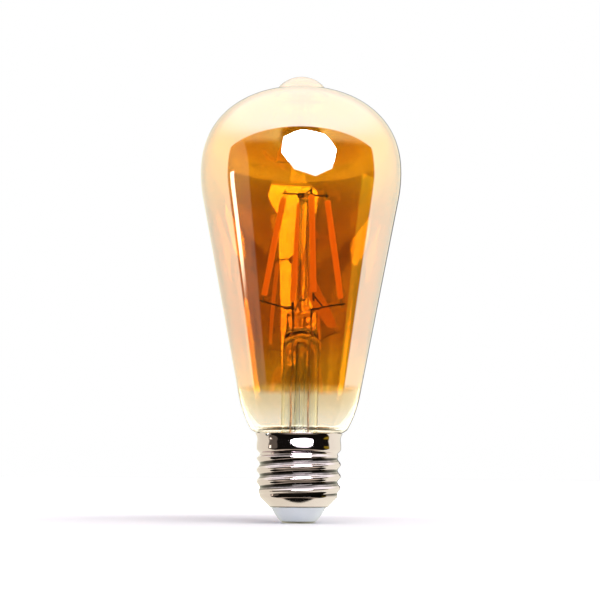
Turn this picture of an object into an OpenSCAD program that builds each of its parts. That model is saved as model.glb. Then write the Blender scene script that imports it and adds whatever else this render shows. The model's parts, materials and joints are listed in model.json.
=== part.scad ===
// LED filament bulb with a screw cap and a radio-controlled driver hidden in the cap.
// The bulb stands on its centre contact: the origin is the centre of the contact face,
// and +Z points to the glass tip.

/* [Glass bulb] */
// Overall length, contact face to glass tip
bulb_length = 142; // [140:0.5:145]
// Largest outside diameter of the glass
glass_d = 64; // [63:0.5:66]
// Height of the widest ring above the contact face
belly_z = 110.5; // [109:0.5:112]
// Half angle of the long taper below the belly, in degrees
taper_angle = 11; // [10.5:0.1:11.5]
// Thickness of the blown glass
glass_wall = 0.9; // [0.7:0.1:1]
// Height of the crown above the widest ring, without the nub
crown_height = 27; // [26:0.5:28]
// Radius of the round end of the nub
nub_round_r = 9.9; // [9:0.1:10.5]

/* [Screw cap] */
// Crest diameter of the rolled thread
thread_d = 26.2; // [26.05:0.05:26.45]
// Root diameter of the rolled thread
thread_root_d = 24.26; // [24.2:0.02:24.36]
// Thread pitch, seven turns to the inch
thread_pitch = 3.629; // [3.6:0.001:3.66]
// Diameter of the plain skirt above the thread
skirt_d = 26.4; // [26.3:0.1:26.6]
// Height of the cap rim above the contact face
cap_height = 27.6; // [27.4:0.1:28]
// Thickness of the cap's sheet metal
cap_sheet = 0.3; // [0.25:0.05:0.35]

/* [Stem] */
// Outside diameter of the stem tube
stem_d = 11.5; // [11:0.1:12]
// Height of the top of the stem tube
stem_top_z = 58.3; // [57:0.1:59.5]
// Height of the top of the flattened pinch
pinch_top_z = 66.3; // [65.5:0.1:67]
// Outside diameter of the post tube
post_d = 3.8; // [3.4:0.1:4.2]
// Height of the underside of the glass button on the post
button_z = 103; // [102.5:0.1:103.5]
// Sideways lean of the stem above the cap, in degrees
stem_lean = 1.2; // [0:0.1:1.5]

/* [LED filaments] */
// Number of filaments round the post
filament_count = 4; // [4]
// Diameter of the yellow phosphor sheath
filament_d = 2; // [1.8:0.1:2.2]
// Length of the phosphor sheath
filament_length = 32; // [31:0.5:32.5]
// Distance of the filament tops from the post axis
filament_top_r = 7; // [6.5:0.1:7.5]
// Distance of the filament feet from the post axis
filament_foot_r = 12.8; // [12:0.1:13.5]
// Turn of the filament ring about the post, in degrees
filament_turn = 15; // [10:1:20]
// Number of LED chips in one filament
chips_per_filament = 14; // [8:1:16]

/* [Driver] */
// Diameter of the round driver board
board_d = 20; // [19:0.5:20.5]
// Height of the underside of the driver board
board_z = 11.2; // [11:0.1:11.6]
// Diameter of the smoothing capacitor
capacitor_d = 5; // [4:0.5:5]
// Height of the smoothing capacitor
capacitor_h = 7; // [5:0.5:7]
// Length of the aerial wire above the radio board
aerial_length = 22; // [15:1:26]

/* [Hidden] */
$fn = 48;
overlap = 0.4;

// ---- Cap levels and radii ----
contact_flat_r = 3.8;
contact_r = 5.35;
contact_top_z = 0.9;
contact_edge = [0.4, 0.2];
eyelet_r = 1.2;
eyelet_bore_r = 0.8;
eyelet_top_z = 4.2;
insulator_bore_r = 1.2;
insulator_foot_z = 0.6;
insulator_land = 0.2;
insulator_lip_bevel = [0.3, 0.4];
insulator_top_z = 6.7;
lip_z = 4.9;
lip_r = 8.9;
cone_top_z = 8;
thread_r = thread_d / 2;
root_r = thread_root_d / 2;
thread_start_z = 8;
thread_end_z = 21.4;
thread_height = thread_r - root_r;
thread_fade = 2.6;
thread_run_in = 0.4;
thread_run_out = 0.2;
thread_steps_round = 36;
thread_rows = 30;
joint_ring_out = 0.12;
skirt_r = skirt_d / 2;
skirt_foot_z = 22;
rim_flare = 0.4;
rim_flare_z = 26.7;
cement_foot_z = skirt_foot_z + 0.5;
cement_top_z = 26;
lead_slot_w = 0.8;

// ---- Glass outline ----
glass_r = glass_d / 2;
belly_blend_r = 44;
bowl_z = 39.7;
bowl_blend_r = 36.6;
bowl_end_angle = 28;
heel_r = 3;
heel_angle = 62;
heel_run = 1.19;
throat_r = 1.2;
neck_r = 11;
neck_foot_z = 18;
neck_bend_z = 21.4;
crown_power = 2.23;
crown_edge_r = 9.7;
nub_angle = 41;
nub_flow = 0.45;

function arc(centre, r, a0, a1, steps) =
    [for (i = [0:steps]) let (a = a0 + (a1 - a0) * i / steps)
        centre + r * [cos(a), sin(a)]];

function bezier(p0, p1, p2, p3, steps) =
    [for (i = [1:steps]) let (t = i / steps, u = 1 - t)
        u * u * u * p0 + 3 * u * u * t * p1 + 3 * u * t * t * p2 + t * t * t * p3];

belly_centre = [glass_r - belly_blend_r, belly_z];
taper_top = belly_centre + belly_blend_r * [cos(taper_angle), -sin(taper_angle)];
taper_foot = [taper_top[0] - (taper_top[1] - bowl_z) * tan(taper_angle), bowl_z];
bowl_centre = taper_foot - bowl_blend_r * [cos(taper_angle), -sin(taper_angle)];
bowl_end = bowl_centre + bowl_blend_r * [cos(bowl_end_angle), -sin(bowl_end_angle)];
heel_centre = bowl_end - heel_r * [cos(bowl_end_angle), -sin(bowl_end_angle)];
heel_end = heel_centre + heel_r * [cos(heel_angle), -sin(heel_angle)];
throat_start = heel_end - heel_run * [sin(heel_angle), cos(heel_angle)];
throat_centre = throat_start + throat_r * [cos(heel_angle), -sin(heel_angle)];
throat_end = throat_centre - [throat_r, 0];

// Crown: a superellipse quarter from the belly in to the edge of the nub.
crown_edge_angle = acos(pow(crown_edge_r / glass_r, crown_power / 2));
function crown_point(a) =
    [glass_r * pow(cos(a), 2 / crown_power), belly_z + crown_height * pow(sin(a), 2 / crown_power)];
function crown_slope(r) =
    -(crown_height / glass_r) * pow(r / glass_r, crown_power - 1)
    * pow(1 - pow(r / glass_r, crown_power), 1 / crown_power - 1);

// Nub: a round end on a concave fillet.
nub_centre = [0, bulb_length - nub_round_r];
nub_start = nub_centre + nub_round_r * [sin(nub_angle), cos(nub_angle)];
crown_edge = crown_point(crown_edge_angle);
crown_run = [-1, -crown_slope(crown_edge_r)] / norm([1, crown_slope(crown_edge_r)]);
nub_run = [-cos(nub_angle), sin(nub_angle)];
nub_pull = nub_flow * norm(nub_start - crown_edge);

glass_outer = concat(
    [[neck_r, neck_foot_z], [neck_r, neck_bend_z]],
    arc(throat_centre, throat_r, 180, 180 - heel_angle, 5),
    arc(heel_centre, heel_r, -heel_angle, -bowl_end_angle, 5),
    arc(bowl_centre, bowl_blend_r, -bowl_end_angle + 2, -taper_angle, 8),
    arc(belly_centre, belly_blend_r, -taper_angle, 0, 6),
    [for (i = [1:26]) crown_point(crown_edge_angle * i / 26)],
    bezier(crown_edge, crown_edge + nub_pull * crown_run, nub_start - nub_pull * nub_run, nub_start, 9),
    arc(nub_centre, nub_round_r, 90 - nub_angle + 5, 90, 7)
);

// Inner wall: each outline point moved in by the wall thickness, square to the outline.
function inward(points, i, depth) =
    let (last = len(points) - 1, run = points[min(i + 1, last)] - points[max(i - 1, 0)])
    points[i] + depth * [-run[1], run[0]] / norm(run);
glass_inner = [for (i = [0:len(glass_outer) - 1])
    i == 0 ? [neck_r - glass_wall, neck_foot_z]
    : i == len(glass_outer) - 1 ? [0, bulb_length - glass_wall]
    : inward(glass_outer, i, glass_wall)];

function neck_outer(z) =
    neck_r + (throat_end[0] - neck_r) * (z - neck_bend_z) / (throat_end[1] - neck_bend_z);

// ---- Stem ----
stem_r = stem_d / 2;
stem_wall = 0.85;
flare_seat = 0.15;
flare_edge_t = 0.7;
flare_pull = [8, 22];
flare_rise_z = 24;
flare_pull_in = [7.6, 21.4];
flare_rise_in_z = 23;
lean_z = 30;
skirt_seal_r = neck_r - glass_wall;
seal_height = 1.2;
pinch_w = 9.7;
pinch_t = 3.6;
pinch_foot_h = 1.2;
post_r = post_d / 2;
post_bore_r = 1;
post_foot_h = 3;
button_r = 2.85;
button_h = 1.4;
exhaust_r = 1.7;
exhaust_wall = 0.5;
exhaust_foot_z = 17.6;
exhaust_tip_r = exhaust_r + 0.1;

// ---- Wires ----
wire_d = 0.4;
top_wire_foot_r = 1.2;
top_wire_past = 0.7;
top_wire_z = button_z + button_h * 0.6;
arm_fork_x = pinch_w / 2 + 0.7;
arm_root_z = pinch_top_z - 0.7;
arm_tip_r = filament_foot_r + 1.2;
arm_tip_z = 69.2;
bend_ball = 1.3;
weld_d = 0.8;
lead_x = 2.75;
lead_weld_z = pinch_top_z - 2.4;
function arm_root_path(side) = [
    [side * lead_x, 0, lead_weld_z], [side * lead_x, 0, arm_root_z], [side * arm_fork_x, 0, arm_root_z]
];

// ---- Filaments ----
filament_mid_z = 86.5;
sheath_end_h = 0.3;
sheath_end_d = filament_d - 0.5;
filament_tilt = atan((filament_foot_r - filament_top_r) / (top_wire_z - arm_tip_z));
filament_mid_r = (filament_foot_r + filament_top_r) / 2;
substrate_w = 0.9;
substrate_t = 0.35;
substrate_length = filament_length - 1;
chip_t = 0.18;
chip_w = 0.5;
chip_length = 1.1;
chip_pitch = (substrate_length - 2) / chips_per_filament;
end_pin_w = 0.7;
end_pin_t = 0.2;
end_pin_length = 3.2;

// ---- Driver ----
board_t = 1;
board_hole_r = 0.6;
board_top_z = board_z + board_t;
capacitor_y = -5;
capacitor_bottom_gap = 0.3;
capacitor_foot_inset = 0.6;
sleeve_drop = 0.3;
sleeve_t = 0.15;
choke_x = -6.2;
choke_y = 1;
choke_flange_r = 2.4;
choke_core_r = 1.2;
choke_flange_t = 0.7;
choke_h = 4;
winding_inset = 0.3;
bridge_size = [4.7, 3.8, 2.2];
bridge_at = [-4.2, -2.6];
chip_size = [4.9, 3.9, 1.5];
chip_at = [3.2, 4.4];
resistor_r = 1;
resistor_length = 5;
resistor_y = -0.2;
resistor_x = 2.2;
resistor_gap = 0.7;
resistor_z = board_z - resistor_r - sleeve_t - resistor_gap;
sleeve_past = 0.5;
small_size = [1.6, 0.8, 0.5];
small_resistor_places = [[6.6, -1.4, 90], [6.6, 1.2, 90], [4.6, -4.6, 30]];
small_capacitor_places = [[-4.6, -5, -30], [-1.6, 2, 0]];
radio_w = 9;
radio_t = 0.8;
radio_h = 8.5;
radio_y = 4.2;
radio_chip_size = [5, 1, 5];
radio_chip_rise = 2;
aerial_d = 0.5;
aerial_y = 3.2;
aerial_bend_z = [1.5, 5];
live_foot_z = 0.3;
live_turn_z = 7.6;
rim_angle = 224;
neutral_r = 11.42;
neutral_top_r = 12.68;
neutral_foot_r = board_d / 2 - 0.5;
neutral_bend_z = [board_top_z + 1.5, board_top_z + 3, 21.7, 23.6, 26.5];
neutral_out_z = 27.15;
notch_w = 1;
notch_drop = 0.75;
bead_r = 0.42;
bead_reach = 0.35;
neutral_end = [[neutral_top_r, 0, neutral_bend_z[4]], [skirt_r + bead_reach, 0, neutral_out_z]];

// ---- Helpers ----
// A bent round wire: straight rods with a ball at each bend.
module wire(path, d, ball = 1.08) {
    for (i = [0:len(path) - 2]) {
        run = path[i + 1] - path[i];
        translate(path[i])
            rotate([0, acos(run[2] / norm(run)), atan2(run[1], run[0])])
                cylinder(h = norm(run), d = d);
    }
    for (i = [1:1:len(path) - 2])
        translate(path[i]) sphere(d = d * ball);
}

// Leans everything above the cap to one side about the foot of the stem tube.
module lean() {
    translate([0, 0, lean_z]) rotate([0, stem_lean, 0]) translate([0, 0, -lean_z]) children();
}

// Puts a child that stands on the local Z axis on the axis of filament i.
module on_filament(i) {
    rotate([0, 0, filament_turn + 180 + i * 360 / filament_count])
        translate([filament_mid_r, 0, filament_mid_z])
            rotate([0, -filament_tilt, 0]) children();
}

module block(size) {
    translate([-size[0] / 2, -size[1] / 2, 0]) cube(size);
}

// ---- Glass ----
module glass_envelope() {
    color([0.72, 0.42, 0.1, 0.55])
        rotate_extrude()
            polygon(concat(glass_outer, [for (i = [len(glass_inner) - 1:-1:0]) glass_inner[i]]));
}

// Trumpet that is fused to the neck, with the straight stem tube above it.
module stem_flare() {
    out_r = stem_r + flare_seat;
    in_r = stem_r - stem_wall - flare_seat;
    seal_top = [skirt_seal_r, neck_foot_z + seal_height];
    edge_in = [skirt_seal_r - flare_edge_t, neck_foot_z];
    flare_out = concat([[skirt_seal_r, neck_foot_z], seal_top],
        bezier(seal_top, flare_pull, [out_r, flare_rise_z], [out_r, lean_z + overlap], 8));
    flare_in = bezier(edge_in, flare_pull_in, [in_r, flare_rise_in_z], [in_r, lean_z + overlap], 8);
    color([0.85, 0.9, 0.9, 0.6]) {
        rotate_extrude()
            polygon(concat(flare_out, [for (i = [len(flare_in) - 1:-1:0]) flare_in[i]], [edge_in]));
        lean() translate([0, 0, lean_z]) difference() {
            cylinder(h = stem_top_z - lean_z, r = stem_r);
            translate([0, 0, -1]) cylinder(h = stem_top_z - lean_z + 2, r = stem_r - stem_wall);
        }
    }
}

// Flattened glass that seals the leads: round at the foot, a flat tongue at the top.
module stem_pinch() {
    color([0.85, 0.9, 0.9, 0.6]) lean() difference() {
        hull() {
            translate([0, 0, stem_top_z]) cylinder(h = pinch_foot_h, r = stem_r, $fn = 32);
            for (side = [-1, 1])
                translate([side * (pinch_w - pinch_t) / 2, 0, pinch_top_z - 1])
                    cylinder(h = 1, d = pinch_t, $fn = 32);
        }
        for (side = [-1, 1]) {
            translate([side * lead_x, 0, stem_top_z - 1])
                cylinder(h = lead_weld_z - stem_top_z + 1, d = wire_d);
            lead_arm_roots(side);
        }
    }
}

module stem_post() {
    color([0.85, 0.9, 0.9, 0.6]) lean() translate([0, 0, pinch_top_z]) difference() {
        cylinder(h = button_z - pinch_top_z, r = post_r);
        translate([0, 0, post_foot_h]) cylinder(h = button_z - pinch_top_z, r = post_bore_r);
    }
}

module post_button() {
    color([0.85, 0.9, 0.9, 0.6]) lean() difference() {
        translate([0, 0, button_z]) rotate_extrude()
            polygon(concat([[0, 0]], arc([button_r - 0.5, button_h / 2], button_h / 2, -90, 90, 8),
                [[0, button_h]]));
        for (i = [0:filament_count - 1]) top_wire(i);
    }
}

module exhaust_tube() {
    color([0.85, 0.9, 0.9, 0.6]) {
        lean() difference() {
            translate([0, 0, lean_z]) cylinder(h = stem_top_z - lean_z, r = exhaust_r);
            translate([0, 0, lean_z - 1])
                cylinder(h = stem_top_z - lean_z + 2, r = exhaust_r - exhaust_wall);
        }
        difference() {
            translate([0, 0, exhaust_foot_z]) rotate_extrude()
                polygon(concat(arc([0, exhaust_tip_r], exhaust_tip_r, -90, 0, 8),
                    [[exhaust_tip_r, lean_z + overlap - exhaust_foot_z],
                     [0, lean_z + overlap - exhaust_foot_z]]));
            translate([0, 0, exhaust_foot_z + exhaust_r])
                cylinder(h = lean_z, r = exhaust_tip_r - exhaust_wall - 0.2);
        }
    }
}

// ---- Wires inside the glass ----
module top_wire(i) {
    rotate([0, 0, filament_turn + 180 + i * 360 / filament_count])
        translate([top_wire_foot_r, 0, top_wire_z]) rotate([0, 90, 0])
            cylinder(h = filament_top_r + top_wire_past - top_wire_foot_r, d = wire_d);
}

module top_support_wires() {
    color("silver") lean() for (i = [0:filament_count - 1]) top_wire(i);
}

// The part of the lead arms that is cast into the pinch, on one side.
module lead_arm_roots(side) {
    wire(arm_root_path(side), wire_d, bend_ball);
}

// Two arms that fan out from one side of the pinch to the feet of two filaments.
module lead_arms(side) {
    first = filament_turn + (side > 0 ? 0 : 180);
    fork = [side * arm_fork_x, 0, arm_root_z];
    wire(arm_root_path(side), wire_d, bend_ball);
    for (a = [first, first - 90])
        wire([fork, [arm_tip_r * cos(a), arm_tip_r * sin(a), arm_tip_z]], wire_d);
    translate(fork) sphere(d = weld_d);
}

module lead_arms_left() {
    color("silver") lean() lead_arms(-1);
}

module lead_arms_right() {
    color("silver") lean() lead_arms(1);
}

// Lead from the driver board up the stem tube into the pinch.
module stem_lead(side) {
    lean() wire([[side * lead_x, 0, lean_z - 2], [side * lead_x, 0, lead_weld_z]], wire_d);
    wire([[side * lead_x, 0, board_top_z], [side * lead_x, 0, lean_z - 1.5]], wire_d);
}

module stem_lead_left() {
    color("peru") stem_lead(-1);
}

module stem_lead_right() {
    color("peru") stem_lead(1);
}

// ---- LED filaments ----
module substrate() {
    translate([-substrate_t / 2, -substrate_w / 2, -substrate_length / 2])
        cube([substrate_t, substrate_w, substrate_length]);
}

module chip_row() {
    for (i = [0:chips_per_filament - 1])
        translate([substrate_t / 2, -chip_w / 2,
            (i - (chips_per_filament - 1) / 2) * chip_pitch - chip_length / 2])
            cube([chip_t, chip_w, chip_length]);
}

// Flat metal tongue at each end of the substrate, which is welded to a wire beside it.
module end_pins() {
    for (end = [0, 1]) mirror([0, 0, end])
        translate([-end_pin_t / 2, -end_pin_w / 2, substrate_length / 2])
            cube([end_pin_t, end_pin_w, end_pin_length]);
}

module sheath(i) {
    color("orange") lean() on_filament(i) difference() {
        union() {
            translate([0, 0, -filament_length / 2 + sheath_end_h])
                cylinder(h = filament_length - 2 * sheath_end_h, d = filament_d);
            for (end = [0, 1]) mirror([0, 0, end])
                translate([0, 0, filament_length / 2 - sheath_end_h])
                    cylinder(h = sheath_end_h, d1 = filament_d, d2 = sheath_end_d);
        }
        translate([-substrate_t / 2, -substrate_w / 2, -substrate_length / 2])
            cube([substrate_t + chip_t, substrate_w, substrate_length]);
        end_pins();
    }
}

module led_filament_1() { sheath(0); }

module led_filament_2() { sheath(3); }

module led_filament_3() { sheath(1); }

module led_filament_4() { sheath(2); }

module filament_substrates() {
    color("lightgrey") lean() for (i = [0:filament_count - 1]) on_filament(i) substrate();
}

module led_chips() {
    color("gold") lean() for (i = [0:filament_count - 1]) on_filament(i) chip_row();
}

module filament_end_pins() {
    color("silver") lean() for (i = [0:filament_count - 1]) on_filament(i) end_pins();
}

// ---- Screw cap ----
// The crest runs round a right-hand helix, and fades out at both ends of the thread.
function fade_in(run) = min(1, max(0, run / thread_fade));
function thread_strength(z) =
    min(fade_in(z - thread_start_z - thread_run_in), fade_in(thread_end_z - thread_run_out - z));
function wave(a, z) = cos(a - 360 * z / thread_pitch);
function thread_at(a, z, inset) =
    root_r - inset + thread_height * thread_strength(z) * (1 + wave(a, z)) / 2;

// Two triangles between points a and b, and the points c and d that lie beyond them.
function quad(a, b, c, d) = [[a, c, b], [b, c, d]];

module thread_tube() {
    n = thread_steps_round;
    ring = n * (thread_rows + 1);
    top = n * thread_rows;
    points = [for (inset = [0, cap_sheet], row = [0:thread_rows], k = [0:n - 1])
        let (a = 360 * k / n, z = thread_start_z + (thread_end_z - thread_start_z) * row / thread_rows,
            r = thread_at(a, z, inset))
        [r * cos(a), r * sin(a), z]];
    walls = [for (row = [0:thread_rows - 1], k = [0:n - 1])
        let (i = row * n + k, j = row * n + (k + 1) % n)
        concat(quad(i, j, i + n, j + n), quad(ring + j, ring + i, ring + j + n, ring + i + n))];
    ends = [for (k = [0:n - 1])
        let (j = (k + 1) % n)
        concat(quad(j, k, ring + j, ring + k), quad(top + k, top + j, top + ring + k, top + ring + j))];
    polyhedron(points = points, faces = [for (group = concat(walls, ends), face = group) face]);
}

module cap_foot() {
    rotate_extrude() polygon([
        [lip_r - cap_sheet, lip_z], [lip_r, lip_z],
        [root_r + joint_ring_out, cone_top_z - 0.2], [root_r + joint_ring_out, cone_top_z + overlap],
        [root_r - cap_sheet - joint_ring_out, cone_top_z + overlap],
        [root_r - cap_sheet - joint_ring_out, cone_top_z]
    ]);
}

module cap_skirt() {
    rotate_extrude() polygon([
        [root_r - cap_sheet - joint_ring_out, thread_end_z - overlap],
        [root_r + joint_ring_out, thread_end_z - overlap], [root_r + joint_ring_out, thread_end_z],
        [skirt_r, skirt_foot_z], [skirt_r, rim_flare_z], [skirt_r + rim_flare, cap_height],
        [skirt_r + rim_flare - cap_sheet, cap_height], [skirt_r - cap_sheet, rim_flare_z],
        [skirt_r - cap_sheet, skirt_foot_z + 0.2],
        [root_r - cap_sheet - joint_ring_out, thread_end_z + 0.2]
    ]);
}

module cap_shell() {
    color([0.82, 0.8, 0.76]) {
        thread_tube();
        cap_foot();
        difference() {
            cap_skirt();
            rotate([0, 0, rim_angle]) translate([skirt_r - 1, -notch_w / 2, neutral_out_z - notch_drop])
                cube([2, notch_w, 2]);
        }
    }
}

module cap_insulator() {
    seat_r = lip_r - cap_sheet;
    foot_run = (cone_top_z - lip_z) / (root_r - joint_ring_out - lip_r);
    top_r = seat_r + (insulator_top_z - lip_z) / foot_run;
    color([0.88, 0.91, 0.93]) rotate_extrude() polygon([
        [insulator_bore_r, contact_top_z], [contact_r, contact_top_z], [contact_r, insulator_foot_z],
        [contact_r + insulator_land, insulator_foot_z],
        [seat_r - insulator_lip_bevel[0], lip_z - insulator_lip_bevel[1]],
        [seat_r, lip_z], [top_r, insulator_top_z], [insulator_bore_r, insulator_top_z]
    ]);
}

module centre_contact() {
    color([0.8, 0.78, 0.72]) difference() {
        rotate_extrude() polygon([
            [0, 0], [contact_flat_r, 0], [contact_r - contact_edge[0], contact_edge[1]],
            [contact_r, insulator_foot_z], [contact_r, contact_top_z],
            [eyelet_r, contact_top_z], [eyelet_r, eyelet_top_z], [0, eyelet_top_z]
        ]);
        translate([0, 0, -1]) cylinder(h = eyelet_top_z + 2, r = eyelet_bore_r);
    }
}

module contact_solder() {
    color("silver") difference() {
        cylinder(h = contact_top_z, r = eyelet_bore_r);
        translate([0, 0, live_foot_z]) cylinder(h = contact_top_z, d = wire_d);
    }
}

// Bead of solder in the rim's notch, round the end of the neutral lead.
module rim_solder() {
    color("silver") rotate([0, 0, rim_angle]) difference() {
        translate([skirt_r + bead_reach, 0, neutral_out_z]) sphere(r = bead_r);
        wire(neutral_end, wire_d);
    }
}

module basing_cement() {
    color([0.75, 0.7, 0.62]) difference() {
        rotate_extrude() polygon([
            [neck_outer(cement_foot_z), cement_foot_z], [skirt_r - cap_sheet, cement_foot_z],
            [skirt_r - cap_sheet, cement_top_z], [neck_outer(cement_top_z), cement_top_z]
        ]);
        rotate([0, 0, rim_angle]) translate([neck_r - 1, -lead_slot_w / 2, cement_foot_z - 1])
            cube([4, lead_slot_w, cement_top_z - cement_foot_z + 2]);
    }
}

// ---- Driver in the cap ----
module driver_board() {
    color([0.1, 0.4, 0.2]) difference() {
        translate([0, 0, board_z]) cylinder(h = board_t, d = board_d);
        translate([0, 0, board_z - 1]) cylinder(h = board_t + 2, r = board_hole_r);
    }
}

module bridge_rectifier() {
    color([0.12, 0.12, 0.13])
        translate([bridge_at[0], bridge_at[1], board_z - bridge_size[2]]) block(bridge_size);
}

module driver_chip() {
    color([0.12, 0.12, 0.13])
        translate([chip_at[0], chip_at[1], board_z - chip_size[2]]) block(chip_size);
}

module capacitor_body(r) {
    translate([0, capacitor_y, board_top_z + capacitor_bottom_gap])
        cylinder(h = capacitor_h - 2 * sleeve_t, r = r);
}

// Aluminium can on its rubber foot.
module smoothing_capacitor() {
    color([0.78, 0.78, 0.8]) {
        capacitor_body(capacitor_d / 2 - sleeve_t);
        translate([0, capacitor_y, board_top_z])
            cylinder(h = capacitor_bottom_gap + 0.1, r = capacitor_d / 2 - capacitor_foot_inset);
    }
}

module capacitor_sleeve() {
    color([0.15, 0.2, 0.35]) translate([0, capacitor_y, board_top_z + capacitor_bottom_gap])
        difference() {
            cylinder(h = capacitor_h - 2 * sleeve_t - sleeve_drop, r = capacitor_d / 2);
            translate([0, 0, -1]) cylinder(h = capacitor_h + 2, r = capacitor_d / 2 - sleeve_t);
        }
}

// Ferrite drum with a flange at each end.
module choke_core() {
    color([0.2, 0.2, 0.21]) translate([choke_x, choke_y, board_top_z]) {
        cylinder(h = choke_flange_t, r = choke_flange_r);
        cylinder(h = choke_h, r = choke_core_r);
        translate([0, 0, choke_h - choke_flange_t]) cylinder(h = choke_flange_t, r = choke_flange_r);
    }
}

module choke_winding() {
    color([0.7, 0.38, 0.18]) translate([choke_x, choke_y, board_top_z + choke_flange_t])
        difference() {
            cylinder(h = choke_h - 2 * choke_flange_t, r = choke_flange_r - winding_inset);
            translate([0, 0, -1]) cylinder(h = choke_h + 2, r = choke_core_r);
        }
}

module resistor_rod(r, length) {
    translate([resistor_x, resistor_y, resistor_z]) rotate([90, 0, 0])
        translate([0, 0, -length / 2]) cylinder(h = length, r = r);
}

module fusible_resistor() {
    color([0.55, 0.7, 0.6]) resistor_rod(resistor_r, resistor_length - 2 * sleeve_past);
}

module resistor_sleeve() {
    color([0.85, 0.85, 0.85]) difference() {
        resistor_rod(resistor_r + sleeve_t, resistor_length);
        resistor_rod(resistor_r, resistor_length + 1);
    }
}

module small_parts(places, size, z) {
    for (place = places) translate([place[0], place[1], z]) rotate([0, 0, place[2]]) block(size);
}

module small_resistors() {
    color([0.15, 0.15, 0.16]) small_parts(small_resistor_places, small_size, board_top_z);
}

module small_capacitors() {
    color([0.7, 0.6, 0.45])
        small_parts(small_capacitor_places, [small_size[0], small_size[1], small_size[1]], board_top_z);
}

// ---- Radio ----
module radio_board() {
    color([0.08, 0.2, 0.35]) translate([0, radio_y, board_top_z]) block([radio_w, radio_t, radio_h]);
}

module radio_chip() {
    color([0.75, 0.76, 0.78])
        translate([0, radio_y + radio_t / 2 + radio_chip_size[1] / 2, board_top_z + radio_chip_rise])
            block(radio_chip_size);
}

module aerial_wire() {
    foot_z = board_top_z + radio_h;
    color([0.3, 0.3, 0.32]) wire([
        [0, radio_y, foot_z], [0, radio_y, foot_z + aerial_bend_z[0]],
        [0, aerial_y, foot_z + aerial_bend_z[1]], [0, aerial_y, foot_z + aerial_length]
    ], aerial_d);
}

// ---- Mains leads ----
module live_lead() {
    color([0.75, 0.2, 0.15]) wire([
        [0, 0, live_foot_z], [0, 0, live_turn_z], [resistor_x, resistor_y, live_turn_z],
        [resistor_x, resistor_y, resistor_z - resistor_r - sleeve_t]
    ], wire_d);
}

module neutral_lead() {
    color([0.2, 0.2, 0.22]) rotate([0, 0, rim_angle]) wire([
        [neutral_foot_r, 0, board_top_z], [neutral_foot_r, 0, neutral_bend_z[0]],
        [neutral_r, 0, neutral_bend_z[1]], [neutral_r, 0, neutral_bend_z[2]],
        [neutral_top_r, 0, neutral_bend_z[3]], neutral_end[0], neutral_end[1]
    ], wire_d);
}

glass_envelope();
stem_flare();
stem_pinch();
stem_post();
post_button();
exhaust_tube();
top_support_wires();
lead_arms_left();
lead_arms_right();
stem_lead_left();
stem_lead_right();
led_filament_1();
led_filament_2();
led_filament_3();
led_filament_4();
filament_substrates();
led_chips();
filament_end_pins();
cap_shell();
cap_insulator();
centre_contact();
basing_cement();
contact_solder();
rim_solder();
driver_board();
bridge_rectifier();
driver_chip();
smoothing_capacitor();
capacitor_sleeve();
choke_core();
choke_winding();
fusible_resistor();
resistor_sleeve();
small_resistors();
small_capacitors();
radio_board();
radio_chip();
aerial_wire();
live_lead();
neutral_lead();
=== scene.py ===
import json
import math

import bmesh
import bpy
from mathutils import Euler, Matrix, Vector


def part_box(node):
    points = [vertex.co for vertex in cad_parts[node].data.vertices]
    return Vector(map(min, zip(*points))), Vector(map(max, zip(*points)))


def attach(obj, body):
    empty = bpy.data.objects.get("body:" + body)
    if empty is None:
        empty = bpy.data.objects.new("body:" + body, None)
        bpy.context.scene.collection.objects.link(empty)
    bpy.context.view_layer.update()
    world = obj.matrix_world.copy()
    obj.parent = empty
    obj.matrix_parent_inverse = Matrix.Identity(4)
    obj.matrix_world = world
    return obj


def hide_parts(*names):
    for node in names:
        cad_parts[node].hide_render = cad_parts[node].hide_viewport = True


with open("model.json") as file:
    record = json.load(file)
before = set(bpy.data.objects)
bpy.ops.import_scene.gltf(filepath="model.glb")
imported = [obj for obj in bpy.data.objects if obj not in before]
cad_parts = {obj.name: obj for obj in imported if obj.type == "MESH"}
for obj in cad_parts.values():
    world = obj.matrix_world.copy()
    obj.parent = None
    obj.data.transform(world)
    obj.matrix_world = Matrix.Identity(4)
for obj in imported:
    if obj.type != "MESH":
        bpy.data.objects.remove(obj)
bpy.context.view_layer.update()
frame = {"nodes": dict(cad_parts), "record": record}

MM = 0.001


def box_mm(node):
    """The low and high corners of a CAD node's box, in millimetres."""
    return [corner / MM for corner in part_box(node)]


# ---- Sizes taken from the CAD frame, in millimetres ----
glass_low, glass_high = box_mm("glass_envelope")
shell_low, shell_high = box_mm("cap_shell")
GLASS_R = glass_high.x
BULB_TOP = glass_high.z
NECK_FOOT = glass_low.z
CAP_RIM_Z = shell_high.z
CAP_RIM_R = shell_high.x
CAP_LIP_Z = shell_low.z
STEM_TOP = box_mm("stem_flare")[1].z
PINCH_TOP = box_mm("stem_pinch")[1].z
BUTTON_Z = box_mm("post_button")[0].z
BOARD_TOP = box_mm("driver_board")[1].z

# ---- Glass outline, in millimetres and degrees ----
TAPER = 11.0
BELLY_Z = 110.5
BELLY_BLEND = 44.0
BOWL_Z = 39.7
BOWL_BLEND = 36.6
BOWL_END = 28.0
HEEL_R = 3.0
HEEL_END = 62.0
HEEL_RUN = 1.19
THROAT_R = 1.2
NECK_R = 11.0
NECK_BEND_Z = 21.4
CROWN_H = 27.0
CROWN_POWER = 2.23
CROWN_EDGE = 9.7
NUB_R = 9.9
NUB_ANGLE = 41.0
WALL = 0.9
COAT_FOOT_Z = 41.5

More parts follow.
